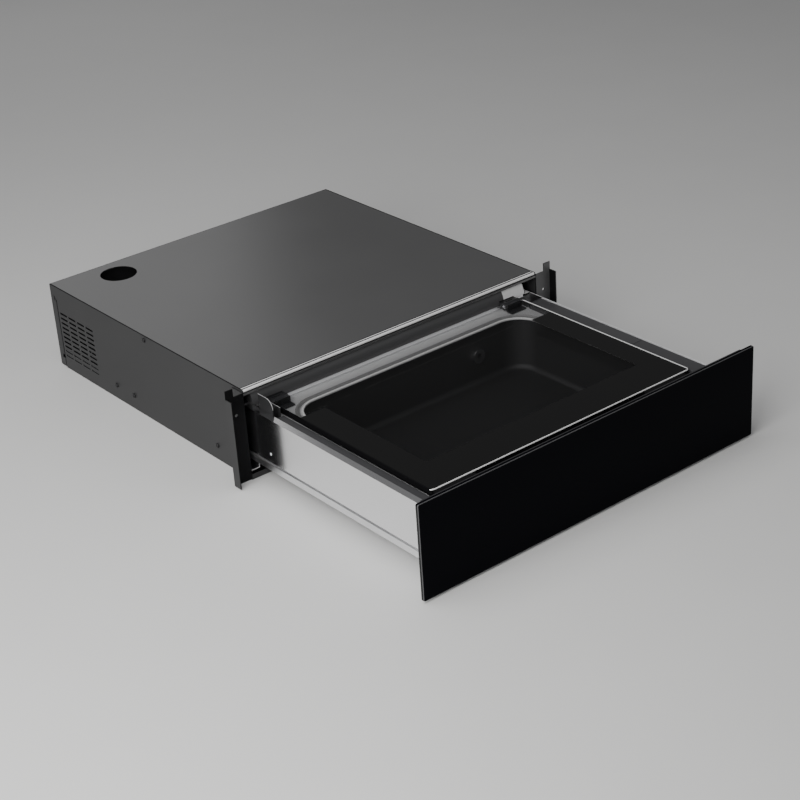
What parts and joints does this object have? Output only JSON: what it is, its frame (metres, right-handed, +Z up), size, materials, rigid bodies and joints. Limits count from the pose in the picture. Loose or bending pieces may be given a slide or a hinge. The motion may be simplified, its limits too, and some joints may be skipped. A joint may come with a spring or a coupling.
{
  "type": "vacuum sealing drawer",
  "caption": "Built-in vacuum sealing drawer: steel housing, pull-out drawer on ball runners, deep-drawn chamber under a hinged smoked glass lid, black glass front.",
  "frame": {"origin": "middle of the housing's underside, on the plane that the appliance stands on in its niche", "axes": "+Z up, +X to the right seen from the front, +Y to the rear; the drawer pulls out along -Y"},
  "size_m": [0.595, 0.932, 0.1475],
  "materials": {
    "housing_steel": "satin grey powder coat",
    "cover_steel": "satin grey powder coat",
    "zinc_steel": "zinc-plated sheet",
    "stainless_sheet": "brushed stainless steel",
    "polished_chamber": "satin deep-drawn stainless steel",
    "hood_paint": "smooth grey",
    "dark_sheet": "satin black",
    "black_screws": "blackened steel",
    "bright_screws": "bright zinc",
    "black_plastic": "moulded black",
    "white_plastic": "moulded white",
    "window_plastic": "smoked window",
    "touch_glass": "black printed glass",
    "front_glass": "black back-painted glass",
    "smoked_glass": "smoked toughened glass",
    "seal_rubber": "black silicone",
    "hose_rubber": "suction hose",
    "motor_paint": "dark enamel",
    "cast_aluminium": "cast",
    "bar_aluminium": "anodised",
    "heating_tape": "brown woven tape over the heating wire",
    "brass_valves": "machined",
    "transformer_core": "varnished laminations and copper",
    "circuit_board": "green solder mask"
  },
  "bodies": {
    "housing": {"base_plate": "housing_steel", "left_side_panel": "housing_steel", "right_side_panel": "housing_steel", "rear_panel": "housing_steel", "top_cover": "cover_steel", "mouth_rail": "cover_steel", "left_front_bracket": "housing_steel", "right_front_bracket": "housing_steel", "housing_screws": "black_screws", "left_cabinet_rail": "dark_sheet", "right_cabinet_rail": "dark_sheet", "latch_body": "black_plastic", "power_gland": "black_plastic"},
    "drawer": {"drawer_tray": "zinc_steel", "left_drawer_side": "stainless_sheet", "right_drawer_side": "stainless_sheet", "drawer_rear_wall": "zinc_steel", "bulkhead": "zinc_steel", "deck_plate": "stainless_sheet", "deck_trims": "dark_sheet", "display_window": "window_plastic", "control_panel": "touch_glass", "vacuum_chamber": "polished_chamber", "chamber_gasket": "seal_rubber", "lift_cylinders": "cast_aluminium", "suction_port": "bright_screws", "front_carrier": "dark_sheet", "front_panel": "front_glass", "rear_hood": "hood_paint", "hinge_leaves": "dark_sheet", "hinge_pins": "bright_screws", "sensor_bracket": "housing_steel", "lid_sensor": "black_plastic", "drawer_screws": "bright_screws", "left_drawer_rail": "zinc_steel", "right_drawer_rail": "zinc_steel", "pump_motor": "motor_paint", "pump_head": "cast_aluminium", "pump_mounts": "seal_rubber", "exhaust_filter": "motor_paint", "valve_block": "brass_valves", "vacuum_hose": "hose_rubber", "transformer": "transformer_core", "power_board": "circuit_board", "fan_frame": "black_plastic"},
    "lid": {"lid_glass": "smoked_glass", "lid_straps": "dark_sheet", "counter_bar": "seal_rubber"},
    "sealing_bar": {"seal_bar": "bar_aluminium", "lift_rods": "bright_screws", "heating_band": "heating_tape"},
    "left_runner_middle": {"left_middle_rail": "zinc_steel"},
    "right_runner_middle": {"right_middle_rail": "zinc_steel"},
    "left_outer_cage": {"left_cabinet_cage": "white_plastic"},
    "right_outer_cage": {"right_cabinet_cage": "white_plastic"},
    "left_inner_cage": {"left_drawer_cage": "white_plastic"},
    "right_inner_cage": {"right_drawer_cage": "white_plastic"},
    "cooling_fan": {"fan_rotor": "black_plastic"},
    "pump_shaft": {"pump_fan": "white_plastic"},
    "push_latch": {"latch_plunger": "white_plastic"}
  },
  "joints": [
    {"name": "drawer_slide", "type": "slide", "parent": "housing", "child": "drawer", "axis": [0, -1, 0], "range_m": [-0.382, 0]},
    {"name": "lid_hinge", "type": "hinge", "parent": "drawer", "child": "lid", "pos_m": [0, -0.264, 0.105], "axis": [-1, 0, 0], "range_deg": [0, 75]},
    {"name": "bar_lift", "type": "slide", "parent": "drawer", "child": "sealing_bar", "axis": [0, 0, 1], "range_m": [0, 0.0055]},
    {"name": "left_runner_slide", "type": "slide", "parent": "housing", "child": "left_runner_middle", "axis": [0, -1, 0], "range_m": [-0.191, 0]},
    {"name": "right_runner_slide", "type": "slide", "parent": "housing", "child": "right_runner_middle", "axis": [0, -1, 0], "range_m": [-0.191, 0]},
    {"name": "left_outer_cage_slide", "type": "slide", "parent": "housing", "child": "left_outer_cage", "axis": [0, -1, 0], "range_m": [-0.0955, 0]},
    {"name": "right_outer_cage_slide", "type": "slide", "parent": "housing", "child": "right_outer_cage", "axis": [0, -1, 0], "range_m": [-0.0955, 0]},
    {"name": "left_inner_cage_slide", "type": "slide", "parent": "housing", "child": "left_inner_cage", "axis": [0, -1, 0], "range_m": [-0.2865, 0]},
    {"name": "right_inner_cage_slide", "type": "slide", "parent": "housing", "child": "right_inner_cage", "axis": [0, -1, 0], "range_m": [-0.2865, 0]},
    {"name": "fan_spin", "type": "hinge", "parent": "drawer", "child": "cooling_fan", "pos_m": [-0.2478, -0.197, 0.0692], "axis": [1, 0, 0], "continuous": true},
    {"name": "pump_spin", "type": "hinge", "parent": "drawer", "child": "pump_shaft", "pos_m": [-0.114, -0.197, 0.0672], "axis": [1, 0, 0], "continuous": true},
    {"name": "latch_push", "type": "slide", "parent": "housing", "child": "push_latch", "axis": [0, 1, 0], "range_m": [0, 0.004], "stiffness_N_per_m": 2000}
  ],
  "couplings": [
    {"joint": "left_runner_slide", "follows": "drawer_slide", "ratio": 0.5},
    {"joint": "right_runner_slide", "follows": "drawer_slide", "ratio": 0.5},
    {"joint": "left_outer_cage_slide", "follows": "drawer_slide", "ratio": 0.25},
    {"joint": "right_outer_cage_slide", "follows": "drawer_slide", "ratio": 0.25},
    {"joint": "left_inner_cage_slide", "follows": "drawer_slide", "ratio": 0.75},
    {"joint": "right_inner_cage_slide", "follows": "drawer_slide", "ratio": 0.75}
  ]
}
